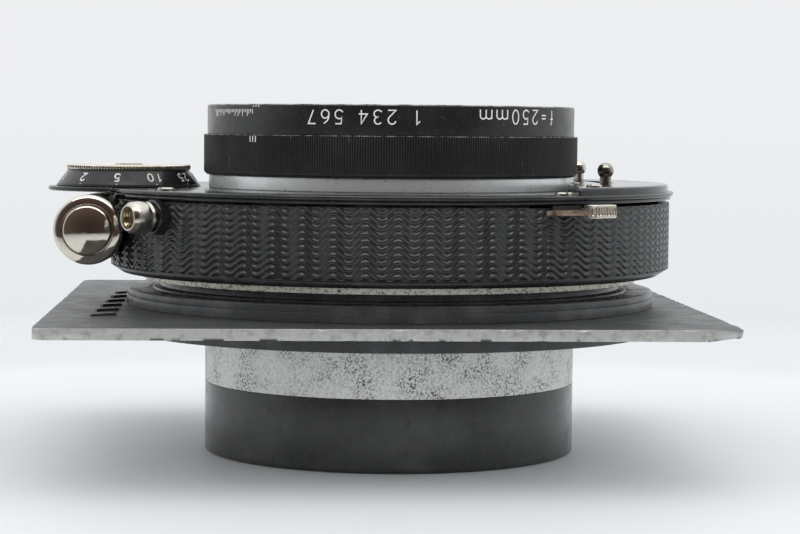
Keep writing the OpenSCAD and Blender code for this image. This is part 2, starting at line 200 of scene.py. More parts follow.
def speck_mask(finish, size, amount):
    """1 on a share of small spots, 0 elsewhere."""
    return finish.spots((size, 1.0), 0.74 - amount, 0.78 - amount)


def black_lacquer_board():
    finish = Finish("board_lacquer", (0.050, 0.053, 0.055), 0.42, specular=0.6)
    finish.roughen(finish.spots((3.5,), 0.3, 0.7, 0.34, 0.50))
    finish.tint(finish.spots((14.0,), 0.35, 0.7), (0.085, 0.088, 0.088))
    wrinkles = finish.grain(0.85, 3.0)
    finish.bump(wrinkles, 0.16, 1.0)
    finish.bump(finish.grain(0.3, 2.0), 0.03, 0.5)
    finish.tint(speck_mask(finish, 0.45, 0.02), (0.16, 0.16, 0.155), roughness=0.6)
    # bare metal on the upright edges, with dirt and dark chips
    upright = finish.ramp(finish.maths("ABSOLUTE", finish.part(finish.normal, "Z")), 0.75, 0.55)
    finish.tint(upright, (0.52, 0.525, 0.50), metallic=0.55, roughness=0.48)
    dirt = finish.both(upright, finish.spots((1.6, 5.0), 0.50, 0.68))
    finish.tint(finish.both(dirt, 0.5), (0.20, 0.20, 0.18), roughness=0.6)
    lower_edge = finish.ramp(finish.height(), board_foot + 0.55, board_foot + 0.15)
    chips = finish.both(upright, lower_edge)
    chips = finish.both(chips, finish.spots((5.0, 4.0, (1, 1, 0.3)), 0.57, 0.61))
    finish.tint(chips, (0.018, 0.018, 0.018), metallic=0.0, roughness=0.5)
    return finish.material


def black_enamel(name, shade, low_gloss, high_gloss):
    finish = Finish(name, (shade, shade * 1.05, shade * 1.1), low_gloss)
    finish.patchy((2.4, 4.0), low_gloss, high_gloss)
    finish.tint(finish.spots((6.0,), 0.45, 0.75), (shade * 1.9, shade * 1.95, shade * 2))
    finish.tint(speck_mask(finish, 0.22, 0.0), (0.22, 0.22, 0.21), roughness=0.6)
    finish.bump(finish.grain(0.5), 0.008, 0.4)
    return finish.material


def rim_enamel():
    finish = Finish("rim_enamel", (0.013, 0.0145, 0.0155), 0.24, specular=0.62)
    finish.patchy((1.8, 4.0), 0.20, 0.32)
    groove = finish.ramp(finish.off_axis(), case_r - 0.22, case_r - 0.42)
    dust = finish.both(groove, finish.spots((4.0, 4.0), 0.45, 0.7, 0.0, 0.5))
    finish.tint(dust, (0.07, 0.07, 0.068), roughness=0.7)
    finish.tint(speck_mask(finish, 0.18, 0.0), (0.45, 0.45, 0.43), roughness=0.6)
    finish.bump(finish.grain(0.35), 0.008, 0.4)
    return finish.material


def anodised(name, shade, roughness, specular=0.5):
    finish = Finish(name, (shade, shade * 1.04, shade * 1.07), roughness, specular=specular)
    finish.patchy((3.0, 4.0), roughness - 0.06, roughness + 0.08)
    finish.tint(finish.spots((9.0, 4.0), 0.4, 0.7), (shade * 1.8, shade * 1.85, shade * 1.8))
    finish.tint(speck_mask(finish, 0.25, 0.0), (0.20, 0.20, 0.19), roughness=0.7)
    finish.bump(finish.grain(0.25, 1.0, (0.02, 0.02, 1.0)), 0.004, 0.5)
    return finish


def grip_black():
    finish = anodised("grip_black", 0.018, 0.40, 0.35)
    foot, top, ring_r = span("grip_ring")
    worn = finish.ramp(finish.height(), top - 0.16, top - 0.06)
    worn = finish.both(worn, finish.spots((1.2, 3.0), 0.42, 0.62))
    finish.tint(worn, (0.42, 0.42, 0.42), metallic=0.8, roughness=0.35)
    scuffs = finish.spots((1.0, 3.0, (1.4, 1.4, 0.25)), 0.68, 0.76)
    finish.tint(scuffs, (0.10, 0.105, 0.105), roughness=0.5)
    ribbed = finish.ramp(finish.height(), top - 0.10, top - 0.16)
    ribbed = finish.both(ribbed, finish.ramp(finish.height(), foot + 0.7, foot + 0.8))
    # painted shade: the floors of the grooves between the ribs are darkened
    grooves = finish.ramp(finish.off_axis(), ring_r - 0.05, ring_r - 0.16)
    finish.tint(finish.both(ribbed, grooves), (0.006, 0.006, 0.006), roughness=0.6)
    return finish.material


def name_black():
    finish = anodised("name_black", 0.012, 0.26)
    _, top, ring_r = span("name_ring")
    worn = finish.ramp(finish.height(), top - 0.20, top - 0.05)
    worn = finish.both(worn, finish.spots((2.2, 4.0), 0.40, 0.60))
    worn = finish.both(worn, finish.ramp(finish.off_axis(), ring_r - 0.40, ring_r - 0.20))
    finish.tint(worn, (0.50, 0.50, 0.49), metallic=0.85, roughness=0.35)
    return finish.material


def hood_black():
    finish = anodised("hood_black", 0.026, 0.22)
    finish.tint(finish.spots((2.0, 5.0), 0.60, 0.74, 0.0, 0.6), (0.010, 0.010, 0.011))
    # painted shade: darker towards the foot, where the hood stands on the floor
    finish.tint(finish.ramp(finish.height(), 1.1, 0.3, 0.0, 0.6), (0.010, 0.010, 0.010))
    return finish.material


def turned_metal(name, colour, roughness, line_depth=0.004, metallic=1.0):
    """Metal with fine lathe lines, level with the ground."""
    finish = Finish(name, colour, roughness, metallic)
    finish.patchy((2.5, 4.0), roughness - 0.05, roughness + 0.08)
    finish.bump(finish.grain(0.09, 2.0, (0.01, 0.01, 1.0)), line_depth, 0.7)
    return finish


def neck_aluminium():
    finish = turned_metal("neck_aluminium", (0.82, 0.85, 0.85), 0.30, 0.014, 0.62)
    finish.tint(finish.spots((0.25, 3.0, (0.15, 0.15, 2.2)), 0.50, 0.80, 0.0, 0.35),
                (0.50, 0.50, 0.50))
    # painted shade: darker just above the plate, in the crease where the neck meets it
    finish.tint(finish.ramp(finish.height(), plate_top + 0.25, plate_top + 0.05, 0.0, 0.6),
                (0.12, 0.11, 0.10))
    return finish.material


def mottled_aluminium():
    finish = Finish("mottled_aluminium", (0.84, 0.845, 0.81), 0.45, 0.2)
    finish.tint(finish.spots((0.42, 4.0), 0.42, 0.68, 0.0, 0.8), (0.55, 0.55, 0.52))
    clouds = finish.spots((5.0, 3.0), 0.40, 0.66)
    spots = finish.spots((0.36, 2.0), 0.50, 0.60)
    finish.tint(finish.both(clouds, spots), (0.07, 0.07, 0.06), metallic=0.3, roughness=0.6)
    finish.tint(finish.spots((0.30, 2.0), 0.66, 0.73), (0.10, 0.10, 0.09), metallic=0.3,
                roughness=0.6)
    finish.bump(finish.grain(0.30, 3.0), 0.02, 0.7)
    return finish.material


def worn_metal(name, colour, roughness, stain):
    finish = Finish(name, colour, roughness, 1.0)
    finish.roughen(finish.spots((1.6, 5.0), 0.35, 0.72, roughness * 0.6, roughness * 1.8))
    finish.tint(finish.spots((1.2, 5.0), 0.56, 0.76, 0.0, stain),
                tuple(channel * 0.45 for channel in colour))
    finish.bump(finish.grain(0.6, 4.0), 0.006, 0.5)
    return finish


def back_ring_nickel():
    finish = turned_metal("back_ring_nickel", (0.92, 0.90, 0.79), 0.45, 0.012, 0.3)
    finish.tint(finish.spots((0.55, 4.0, (1, 1, 1.4)), 0.50, 0.62, 0.0, 0.8), (0.36, 0.32, 0.25),
                metallic=0.4, roughness=0.55)
    finish.tint(finish.spots((0.9, 4.0), 0.66, 0.70), (0.035, 0.03, 0.025), metallic=0.0,
                roughness=0.6)
    return finish.material


def white_paint():
    finish = Finish("white_paint", (0.80, 0.80, 0.76), 0.5)
    finish.tint(finish.spots((0.35, 3.0), 0.62, 0.78, 0.0, 0.6), (0.20, 0.20, 0.19))
    finish.bump(finish.grain(0.2), 0.01, 0.4)
    return finish.material


def pointer_metal():
    """Warm metal strip; the web over it is painted dark as shade in the gap under the lip."""
    finish = worn_metal("pointer_metal", (0.60, 0.49, 0.38), 0.32, 0.4)
    strip_top = low("aperture_tab").z
    # painted shade: the web over the strip is darkened to stand for the shadowed gap under the lip
    web_shade = finish.ramp(finish.height(), strip_top + 0.01, strip_top + 0.05)
    finish.tint(web_shade, (0.012, 0.012, 0.012), metallic=0.0, roughness=0.5)
    return finish.material


def coated_glass():
    finish = Finish("coated_glass", (0.96, 0.98, 1.0), 0.02)
    finish.shader.inputs["Transmission Weight"].default_value = 1.0
    finish.shader.inputs["IOR"].default_value = 1.52
    finish.roughen(finish.spots((4.0, 5.0), 0.5, 0.8, 0.01, 0.05))
    return finish.material


def floor_paper():
    """Pale floor that fades into the studio's background with distance from the object."""
    finish = Finish("floor_paper", (0.81, 0.83, 0.845), 0.55, specular=0.25)
    fade = finish.ramp(finish.off_axis(), 150, 330, 1.0, 0.0)
    finish.links.new(fade, finish.shader.inputs["Alpha"])
    return finish.material


LACQUER = black_lacquer_board()
ENAMEL = black_enamel("black_enamel", 0.014, 0.12, 0.22)
COVER = black_enamel("cover_enamel", 0.016, 0.07, 0.12)
FLANGE = black_enamel("flange_enamel", 0.043, 0.22, 0.34)
RIM = rim_enamel()
GRIP = grip_black()
NAME = name_black()
HOOD = hood_black()
DIAL = black_enamel("dial_black", 0.010, 0.16, 0.30)
NECK = neck_aluminium()
BARREL = mottled_aluminium()
BRIGHT = worn_metal("bright_nickel", (0.68, 0.63, 0.555), 0.08, 0.2).material
DISC = worn_metal("disc_nickel", (0.72, 0.69, 0.61), 0.26, 0.35).material
SATIN = worn_metal("satin_nickel", (0.60, 0.57, 0.51), 0.26, 0.5).material
TAB = worn_metal("tab_nickel", (0.74, 0.70, 0.61), 0.30, 0.35).material
DARK_NICKEL = worn_metal("dark_nickel", (0.40, 0.385, 0.33), 0.20, 0.5).material
BACK_RING = back_ring_nickel()
POINTER = pointer_metal()
THREAD_BRASS = worn_metal("brass", (0.50, 0.42, 0.27), 0.28, 0.6).material
WHITE = white_paint()
INNER_BLACK = anodised("inner_black", 0.012, 0.55).material
BLADE = turned_metal("blade_steel", (0.16, 0.165, 0.17), 0.36).material
STEEL = turned_metal("works_steel", (0.45, 0.45, 0.44), 0.30).material
GLASS = coated_glass()

# ---------- shapes ----------


def rounded(corners, steps=4):
    """Outline of (radius, height) corners; a third number on a corner is its rounding."""
    points = []
    for i, corner in enumerate(corners):
        here = Vector(corner[:2])
        if len(corner) == 2:
            points.append(tuple(here))
            continue
        before = (Vector(corners[i - 1][:2]) - here).normalized()
        after = (Vector(corners[(i + 1) % len(corners)][:2]) - here).normalized()
        half = before.angle(after) / 2
        centre = here + (before + after).normalized() * corner[2] / math.sin(half)
        start = here + before * corner[2] / math.tan(half) - centre
        stop = here + after * corner[2] / math.tan(half) - centre
        sweep = start.angle_signed(stop)
        for step in range(steps + 1):
            spoke = Matrix.Rotation(-sweep * step / steps, 2) @ start
            points.append(tuple(centre + spoke))
    return points


def line(start, stop, count):
    """Points from start up to but not at stop."""
    return [(start[0] + (stop[0] - start[0]) * i / count, start[1] + (stop[1] - start[1]) * i / count)
            for i in range(count)]


def dome(sphere_r, centre_z, from_r, to_r, steps=14):
    """Points on a sphere about the axis, from one radius to another."""
    points = []
    for i in range(steps + 1):
        r = from_r + (to_r - from_r) * (1 - math.cos(math.pi * i / steps)) / 2
        points.append((r, centre_z + math.sqrt(sphere_r ** 2 - r ** 2)))
    return points


def solid(name, verts, faces, material, sharp=38.0):
    """A closed mesh from points in mm, with smooth shading up to the sharp angle."""
    mesh = bpy.data.meshes.new(name)
    mesh.from_pydata([tuple(Vector(v) * MM) for v in verts], [], faces)
    return finished(name, mesh, material, sharp)


def finished(name, mesh, material, sharp=38.0):
    work = bmesh.new()
    work.from_mesh(mesh)
    bmesh.ops.recalc_face_normals(work, faces=work.faces)
    work.to_mesh(mesh)
    work.free()
    mesh.materials.clear()
    mesh.materials.append(material)
    mesh.polygons.foreach_set("material_index", [0] * len(mesh.polygons))
    mesh.shade_smooth()
    mesh.set_sharp_from_angle(angle=math.radians(sharp))
    piece = bpy.data.objects.new(name, mesh)
    bpy.context.collection.objects.link(piece)
    return piece


def turned(name, outline, material, segments=256, place=None, shape=None, arc=None, angles=None,
           sharp=38.0):
    """Turns a closed outline of (radius, height) about an axis.

    shape(angle, r, z) may move a point; arc is a part turn in degrees; angles lists the columns.
    """
    place = place or Matrix.Identity(4)
    if angles is None:
        start, stop = arc or (0, 360)
        angles = [start + (stop - start) * i / segments for i in range(segments + (1 if arc else 0))]
    verts, columns = [], []
    poles = {}
    for angle in angles:
        turn = math.radians(angle)
        column = []
        for p, (r, z) in enumerate(outline):
            if r < 1e-6 and not arc:
                if p not in poles:
                    poles[p] = len(verts)
                    verts.append(place @ Vector((0, 0, z)))
                column.append(poles[p])
                continue
            if shape:
                r, z = shape(turn, r, z)
            column.append(len(verts))
            verts.append(place @ Vector((r * math.cos(turn), r * math.sin(turn), z)))
        columns.append(column)
    faces = []
    pairs = zip(columns, columns[1:] + ([] if arc else columns[:1]))
    for here, there in pairs:
        for p in range(len(outline)):
            q = (p + 1) % len(outline)
            corner = list(dict.fromkeys((here[p], here[q], there[q], there[p])))
            if len(corner) > 2:
                faces.append(corner)
    if arc:
        faces += [columns[0], columns[-1]]
    return solid(name, verts, faces, material, sharp)


def applied(piece, sharp=38.0):
    """Turns a piece's modifiers into mesh."""
    depsgraph = bpy.context.evaluated_depsgraph_get()
    mesh = bpy.data.meshes.new_from_object(piece.evaluated_get(depsgraph))
    name, material = piece.name, piece.data.materials[0]
    bpy.data.objects.remove(piece)
    return finished(name, mesh, material, sharp)


def carved(piece, cutter, operation="DIFFERENCE", sharp=38.0):
    """The piece with the cutter taken away, or cut down to it."""
    change = piece.modifiers.new("carve", "BOOLEAN")
    change.object = cutter
    change.operation = operation
    change.solver = "MANIFOLD"
    bpy.context.view_layer.update()
    result = applied(piece, sharp)
    bpy.data.objects.remove(cutter)
    return result


def cad_copy(node, name, material):
    """A new piece with a CAD node's shape, to be carved."""
    mesh = NODES[node].data.copy()
    work = bmesh.new()
    work.from_mesh(mesh)
    bmesh.ops.remove_doubles(work, verts=work.verts, dist=1e-7)
    work.to_mesh(mesh)
    work.free()
    return finished(name, mesh, material)


def block(name, corner, opposite, material):
    verts = [(x, y, z) for x in (corner[0], opposite[0]) for y in (corner[1], opposite[1])
             for z in (corner[2], opposite[2])]
    faces = [(0, 1, 3, 2), (4, 6, 7, 5), (0, 4, 5, 1), (2, 3, 7, 6), (0, 2, 6, 4), (1, 5, 7, 3)]
    return solid(name, verts, faces, material)


def pointing(position, direction):
    """Placement whose Z axis points along a direction."""
    turn = Vector(direction).to_track_quat("Z", "Y").to_matrix().to_4x4()
    return Matrix.Translation(Vector(position)) @ turn


def settle(piece, slot, *nodes, body="lens_body"):
    """The piece stands for some nodes, which are hidden, and rides on a body; slot is not used."""
    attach(piece, body)
    if nodes:
        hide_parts(*nodes)
    return piece


# ---------- strokes for figures and ticks ----------


def bow(cx, cy, rx, ry, start, stop, steps=14):
    """Points on an ellipse from one angle to another."""
    turns = [math.radians(start + (stop - start) * i / steps) for i in range(steps + 1)]
    return [(cx + rx * math.cos(t), cy + ry * math.sin(t)) for t in turns]


GLYPHS = {
    "0": [bow(0.31, 0.5, 0.29, 0.5, 90, 450, 24)],
    "1": [[(0.10, 0.78), (0.33, 1.0), (0.33, 0.0)]],
    "2": [bow(0.31, 0.70, 0.28, 0.30, 165, -38) + [(0.03, 0.0), (0.60, 0.0)]],
    "3": [bow(0.28, 0.75, 0.26, 0.25, 150, -85) + bow(0.28, 0.26, 0.30, 0.26, 85, -150)],
    "4": [[(0.46, 0.0), (0.46, 1.0), (0.02, 0.28), (0.64, 0.28)]],
    "5": [[(0.56, 1.0), (0.14, 1.0), (0.08, 0.54)] + bow(0.28, 0.32, 0.31, 0.32, 125, -150)],
    "6": [bow(0.66, 0.40, 0.64, 0.62, 112, 172) + bow(0.31, 0.30, 0.29, 0.30, 160, -200, 20)],
    "7": [[(0.03, 1.0), (0.60, 1.0), (0.20, 0.0)]],
    "=": [[(0.05, 0.36), (0.55, 0.36)], [(0.05, 0.60), (0.55, 0.60)]],
    "f": [bow(0.38, 0.82, 0.16, 0.18, 80, 180) + [(0.22, 0.0)], [(0.05, 0.62), (0.44, 0.62)]],
    "m": [[(0.04, 0.0), (0.04, 0.66)], bow(0.28, 0.44, 0.24, 0.22, 180, 0) + [(0.52, 0.0)],
          bow(0.76, 0.44, 0.24, 0.22, 180, 0) + [(1.0, 0.0)]],
    "T": [[(0.02, 1.0), (0.60, 1.0)], [(0.31, 1.0), (0.31, 0.0)]],
    "B": [[(0.08, 0.0), (0.08, 1.0), (0.30, 1.0)] + bow(0.30, 0.76, 0.22, 0.24, 90, -90)
          + bow(0.30, 0.26, 0.27, 0.26, 90, -90) + [(0.08, 0.0)]],
}
WIDE = {"m": 0.98}
ADVANCE = 1.04


def written(text, size):
    """Strokes of a text in mm, centred on the origin."""
    strokes, along = [], 0.0
    for letter in text:
        for stroke in GLYPHS.get(letter, []):
            strokes.append([((along + x) * size, (y - 0.5) * size) for x, y in stroke])
        along += 0.78 if letter == " " else WIDE.get(letter, 0.62) + ADVANCE - 0.62
    width = (along - (ADVANCE - 0.62)) * size
    return [[(x - width / 2, y) for x, y in stroke] for stroke in strokes]


def ribbon(stroke, width, onto, verts, faces, sunk=0.04, proud=0.03):
    """Adds one closed ribbon along a stroke; onto(x, y, height) gives its place on the surface."""
    points = [Vector(p) for p in stroke]
    closed = (points[0] - points[-1]).length < 1e-4
    if closed:
        points.pop()
    count, base = len(points), len(verts)
    for i, here in enumerate(points):
        before = points[i - 1] if closed or i else here - (points[1] - here)
        after = points[(i + 1) % count] if closed or i < count - 1 else here + (here - points[i - 1])
        back, ahead = (here - before).normalized(), (after - here).normalized()
        side = Vector((-(back + ahead).y, (back + ahead).x)).normalized()
        reach = width / 2 / max(0.5, side.dot(Vector((-ahead.y, ahead.x))))
        for sign, height in ((-1, -sunk), (1, -sunk), (1, proud), (-1, proud)):
            at = here + side * reach * sign
            verts.append(onto(at.x, at.y, height))
    for i in range(count if closed else count - 1):
        a, b = base + 4 * i, base + 4 * ((i + 1) % count)
        faces += [(a + k, a + (k + 1) % 4, b + (k + 1) % 4, b + k) for k in range(4)]
    if not closed:
        faces += [tuple(base + k for k in range(4)), tuple(base + 4 * (count - 1) + k for k in range(4))]


def on_turned(centre, r_low, z_low, r_high, z_high, angle, z, upside_down=True):
    """Maps flat strokes onto a cone or cylinder about a vertical axis, at an angle and a height."""
    sign = -1 if upside_down else 1
    slope = (r_high - r_low) / (z_high - z_low)
    tilt = math.hypot(1, slope)

    def onto(x, y, height):
        level = z + sign * y / tilt
        r = r_low + (level - z_low) * slope
        turn = math.radians(angle) + sign * x / r
        r += height / tilt
        return Vector((centre + r * math.cos(turn), r * math.sin(turn), level - height * slope / tilt))

    return onto


def marks(name, sets, slot, body="lens_body"):
    """One piece from several (strokes, width, onto)."""
    verts, faces = [], []
    for strokes, width, onto in sets:
        for stroke in strokes:
            ribbon(stroke, width, onto, verts, faces)
    return settle(solid(name, verts, faces, WHITE), slot, body=body)


# ---------- shutter case ----------

WAVE_FOOT = low("shutter_housing").z + 12.1
WAVE_TOP = case_top - 0.45
WAVE_STEPS = 104


def wave_radius(turn, z):
    """Radius of the ribbed rim: rounded ridges between narrow grooves, in a wave round the case."""
    phase = math.pi * (z - WAVE_FOOT - WAVE_SWING * math.sin(WAVES * turn)) / RIDGE_PITCH
    return case_r - 0.03 - RIDGE_DEPTH * (1 - abs(math.cos(phase)) ** 0.85)


def ribbed_case():
    side = line((case_r, WAVE_FOOT), (case_r, WAVE_TOP), WAVE_STEPS)
    outline = [(0, WAVE_FOOT - 14), (case_r + 1, WAVE_FOOT - 14), (case_r + 1, WAVE_FOOT - 0.01)]
    outline += side + [(case_r, WAVE_TOP), (case_r - 0.9, WAVE_TOP + 0.05), (case_r - 0.9, case_top + 1),
                       (0, case_top + 1)]

    def shape(turn, r, z):
        if abs(r - case_r) < 1e-6 and WAVE_FOOT - 1e-6 <= z <= WAVE_TOP + 1e-6:
            return wave_radius(turn, z), z
        return r, z

    envelope = turned("envelope", outline, RIM, WAVES * 16, shape=shape, sharp=60)
    case = carved(cad_copy("shutter_housing", "shutter_housing_ribbed", RIM), envelope, "INTERSECT", 60)
    settle(case, "gloss_black", "shutter_housing")


def smooth_most(a, b, blend):
    """The larger of two lengths, with a smooth change from one to the other."""
    return (a + b + math.sqrt((a - b) ** 2 + blend ** 2)) / 2


def plate_edge(turn):
    """Radius of the upper lip's outline: the round plate with the dial's lobe."""
    away = turn - math.pi
    across = lobe_r ** 2 - (dial_x * math.sin(away)) ** 2
    if across <= 0 or math.cos(away) < 0:
        return plate_r
    lobe = -dial_x * math.cos(away) + math.sqrt(across)
    blend = 1.2
    return smooth_most(plate_r, lobe, blend) - blend ** 2 / 4 / max(blend, abs(lobe - plate_r) + 0.3)


def on_circle(r, angle):
    turn = math.radians(angle)
    return Vector((r * math.cos(turn), r * math.sin(turn)))


def arc_slot(r, width, start, stop, foot, top):
    """Cutter for an arc-shaped slot with round ends."""
    steps = 12
    outline = []
    for here, there, side in ((start, stop, -1), (stop, start, 1)):
        first = here + 90 * side - 90
        outline += [on_circle(r, here) + on_circle(width / 2, first + 180 * i / steps)
                    for i in range(steps + 1)]
        outline += [on_circle(r - side * width / 2, here + (there - here) * i / steps)
                    for i in range(1, steps)]
    count = len(outline)
    verts = [(p.x, p.y, z) for z in (foot, top) for p in outline]
    faces = [tuple(range(count)), tuple(range(2 * count - 1, count - 1, -1))]
    faces += [(i, (i + 1) % count, count + (i + 1) % count, count + i) for i in range(count)]
    return solid("slot_cutter", verts, faces, ENAMEL)


# radius, width and both end angles of each lever's slot
COCK_SLOT = (39.4, 3.2, -2.9, 21.1)
RELEASE_SLOT = (44.3, 3.2, 34.3, 44.3)
PLATE_BORE, PLATE_THREAD = 30.45, 32.25
LIP_STEP = 0.8
LOBE_SPAN = 19.0
COVER_END = 31.5


def slotted(piece, foot, top):
    """The piece with both levers' slots cut through it."""
    for slot in (COCK_SLOT, RELEASE_SLOT):
        piece = carved(piece, arc_slot(*slot, foot, top), sharp=50)
    return piece


def front_plate():
    step = plate_top - LIP_STEP
    foot = low("front_plate").z
    lower_r = plate_r - 0.5
    outline = rounded([(PLATE_BORE, foot), (PLATE_THREAD, foot), (PLATE_THREAD, case_top),
                       (lower_r, case_top, 0.28), (lower_r, step - 0.02, 0.22), (plate_r - 0.9, step),
                       (plate_r, step, 0.36), (plate_r, plate_top, 0.36), (PLATE_BORE, plate_top)], 5)

    def shape(turn, r, z):
        if z > step - 0.01 and r > plate_r - 0.8:
            return r + plate_edge(turn) - plate_r, z
        return r, z

    # fine columns round the lobe, coarse ones elsewhere
    near = [180 - LOBE_SPAN + 0.1 * i for i in range(381)]
    angles = [i * 0.75 for i in range(480) if not abs(i * 0.75 - 180) < LOBE_SPAN + 0.1] + near
    plate = turned("front_plate_two_lips", outline, ENAMEL, shape=shape, angles=sorted(angles), sharp=50)
    notch_y = 22
    notch = block("notch", (-plate_r - 10, -notch_y, case_top - 1), (-45.5, notch_y, step - 0.06), ENAMEL)
    plate = slotted(carved(plate, notch, sharp=50), case_top - 1, plate_top + 1)
    settle(plate, "gloss_black", "front_plate")


def lever_cover():
    half, edge = 51.0, 0.5
    inner, outer = 34.6, 50.7
    outline = rounded([(inner, plate_top), (outer, plate_top), (outer, cover_top, edge),
                       (inner, cover_top, 0.3)], 6)

    def shape(turn, r, z):
        # each end rounds down over its last half millimetre
        from_end = (half - abs(math.degrees(math.atan2(math.sin(turn), math.cos(turn))))) * math.radians(r)
        share = min(1.0, max(0.0, from_end / edge))
        return r, plate_top + (z - plate_top) * (0.62 + 0.38 * math.sin(share * math.pi / 2))

    cover = turned("lever_cover_rounded", outline, COVER, 306, shape=shape, arc=(-half, half), sharp=50)
    end = block("straight_end", (0, -60, plate_top - 1), (COVER_END, 0, cover_top + 1), COVER)
    cover = slotted(carved(cover, end, sharp=50), plate_top - 1, cover_top + 1)
    settle(cover, "gloss_black", "lever_cover")


# ---------- dial ----------

DIAL_WORDS = ("1", "2", "5", "10", "25", "50", "100", "250", "T", "B")
DIAL_FIRST, DIAL_STEP = -68.2, 32.5


def speed_dial():
    at_dial = Matrix.Translation((dial_x, 0, 0))
    foot, top = low("speed_dial").z, high("speed_dial").z
    disc_r, disc_top = high("dial_disc").y, high("dial_disc").z
    hole_r, top_r, skirt_r = 1.65, disc_r - 0.3, dial_r - 0.22
    cone_foot = foot + 0.42
    skirt = rounded([(hole_r, foot), (dial_r, foot, 0.1), (dial_r, foot + 0.26, 0.1),
                     (skirt_r, foot + 0.30), (skirt_r, cone_foot), (top_r, top, 0.12), (hole_r, top)])
    skirt = turned("speed_dial_skirt", skirt, DIAL, 240, at_dial, sharp=30)
    settle(skirt, "gloss_black", "speed_dial", body="dial")

    def teeth(turn, r, z):
        if r > disc_r - 0.35:
            r -= 0.30 * (0.5 + 0.5 * math.cos(DISC_TEETH * turn)) ** 1.5
        return r, z

    dish = disc_top - 0.2
    disc = rounded([(hole_r, top), (disc_r - 0.12, top), (disc_r, top + 0.12), (disc_r, disc_top - 0.14),
                    (disc_r - 0.16, disc_top), (9.75, disc_top, 0.06), (9.55, dish, 0.06),
                    (3.45, dish, 0.06), (3.3, disc_top, 0.06), (hole_r, disc_top)], 3)
    disc = turned("dial_disc_milled", disc, DISC, DISC_TEETH * 8, at_dial, teeth, sharp=50)
    settle(disc, "bright_nickel", "dial_disc", body="dial")

    def on_cone(angle, z):
        return on_turned(dial_x, skirt_r, cone_foot, top_r, top, angle - 90, z)

    size, figure_z, dot_z, dot = 1.6, (foot + top) / 2 + 0.2, foot + 0.5, 0.18
    sets = []
    for i, text in enumerate(DIAL_WORDS):
        angle = DIAL_FIRST + DIAL_STEP * i
        sets.append((written(text, size), 0.23, on_cone(angle, figure_z)))
        sets.append(([[(-dot / 2, 0), (dot / 2, 0)]], dot, on_cone(angle, dot_z)))
    marks("dial_figures", sets, "gloss_black", body="dial")


# ---------- air cylinder ----------


def cylinder_cap(name, node, direction, boss):
    """Polished cap: a stepped boss inside a rounded shoulder, or a plain low dome."""
    end = high("air_cylinder").y
    place = pointing((cylinder_x, direction * end, cylinder_z), (0, direction, 0))
    cap_r, spigot_r = cylinder_r + 0.02, 5.05
    outline = [(0, -2), (spigot_r, -2), (spigot_r, 0)]
    if boss:
        boss_r, boss_top, dome_r, flat_r = 4.2, 4.8, 11, 3.6
        outline += rounded([(spigot_r, 0), (cap_r, 0, 0.1), (cap_r, 3.0, 0.95), (boss_r + 0.3, 3.35, 0.08),
                            (boss_r + 0.22, 3.02), (boss_r + 0.05, 3.0), (boss_r, 4.02, 0.5),
                            (flat_r - 0.05, 4.2)], 8)[1:-1]
        outline += dome(dome_r, boss_top - dome_r, flat_r, 0)
    else:
        rim_r, flat_top = cap_r - 0.05, 3.78
        outline += rounded([(spigot_r, 0), (cap_r, 0, 0.1), (cap_r, 1.55, 0.1), (rim_r, 1.6)], 3)[1:]
        outline += [(r, min(z, flat_top)) for r, z in dome(8, -3.6, rim_r, 0, 16)[1:]]
    settle(turned(name, outline, BRIGHT, 96, place, sharp=32), "bright_nickel", node)


# ---------- cable release socket ----------


def release_socket():
    """Ball-shaped mouth on a stem, with its thread; heights are distances from the optical axis."""
    heading = math.radians(RELEASE_ANGLE)
    out = Vector((math.cos(heading), math.sin(heading), 0))
    level = (low("cable_release_socket").z + high("cable_release_socket").z) / 2
    place = pointing((0, 0, level), out)
    base_foot, base_top, base_r, base_bore = 50.0, 52.6, 3.0, 2.05
    base = rounded([(base_bore, base_foot), (base_r, base_foot), (base_r, base_top, 0.35),
                    (base_bore, base_top)], 4)
    settle(turned("socket_base_ring", base, ENAMEL, 72, place), "black_enamel", "socket_base")

    stem_foot, ball_foot, mouth = 51.0, 53.3, 57.2
    stem_r, bore_r, inner_r = 2.0, 0.95, 1.86
    swell = [(stem_r, ball_foot - 0.05), (2.666, ball_foot), (2.62, ball_foot + 0.25)]
    for i in range(12):
        z = ball_foot + 0.45 + 0.25 * i
        swell.append((2.35 + 0.4 * math.sin(math.pi * (z - ball_foot) / (mouth - ball_foot)) ** 0.6, z))
    body = [(bore_r, stem_foot), (stem_r, stem_foot)] + swell
    body += [(2.30, mouth - 0.15), (2.18, mouth), (1.92, mouth), (inner_r, mouth - 0.2), (inner_r, 51.9),
             (bore_r, 51.9)]
    settle(turned("release_socket_ball", body, SATIN, 72, place), "satin_nickel", "cable_release_socket")

    pitch, turns, first, root, crest, outer = 0.5, 9, 52.3, 1.84, 1.70, 1.95
    thread = []
    for i in range(turns):
        thread += [(root, first + pitch * i), (crest, first + pitch * (i + 0.5))]
    last = first + pitch * turns
    thread += [(root, last), (outer, last), (outer, first)]
    settle(turned("release_socket_thread", thread, THREAD_BRASS, 72, place), "brass")


# ---------- levers ----------


def ball_knob(name, node, body, material):
    foot, top = low(node), high(node)
    centre = (foot + top) / 2
    place = Matrix.Translation((centre.x, centre.y, 0))
    ball_r, neck_r = 1.5, 1.05
    middle = top.z - ball_r
    start = math.asin(neck_r / ball_r)
    outline = [(0, foot.z), (neck_r, foot.z)]
    steps = 16
    outline += [(ball_r * math.sin(start + (math.pi - start) * i / steps),
                 middle - ball_r * math.cos(start + (math.pi - start) * i / steps)) for i in range(steps)]
    outline.append((0, top.z))
    knob = turned(name, outline, material, 64, place, sharp=30)
    settle(knob, "satin_nickel", node, body=body)


TAB_ANGLE, TAB_SWEEP, TAB_TEETH = -49.9, 6.0, 9


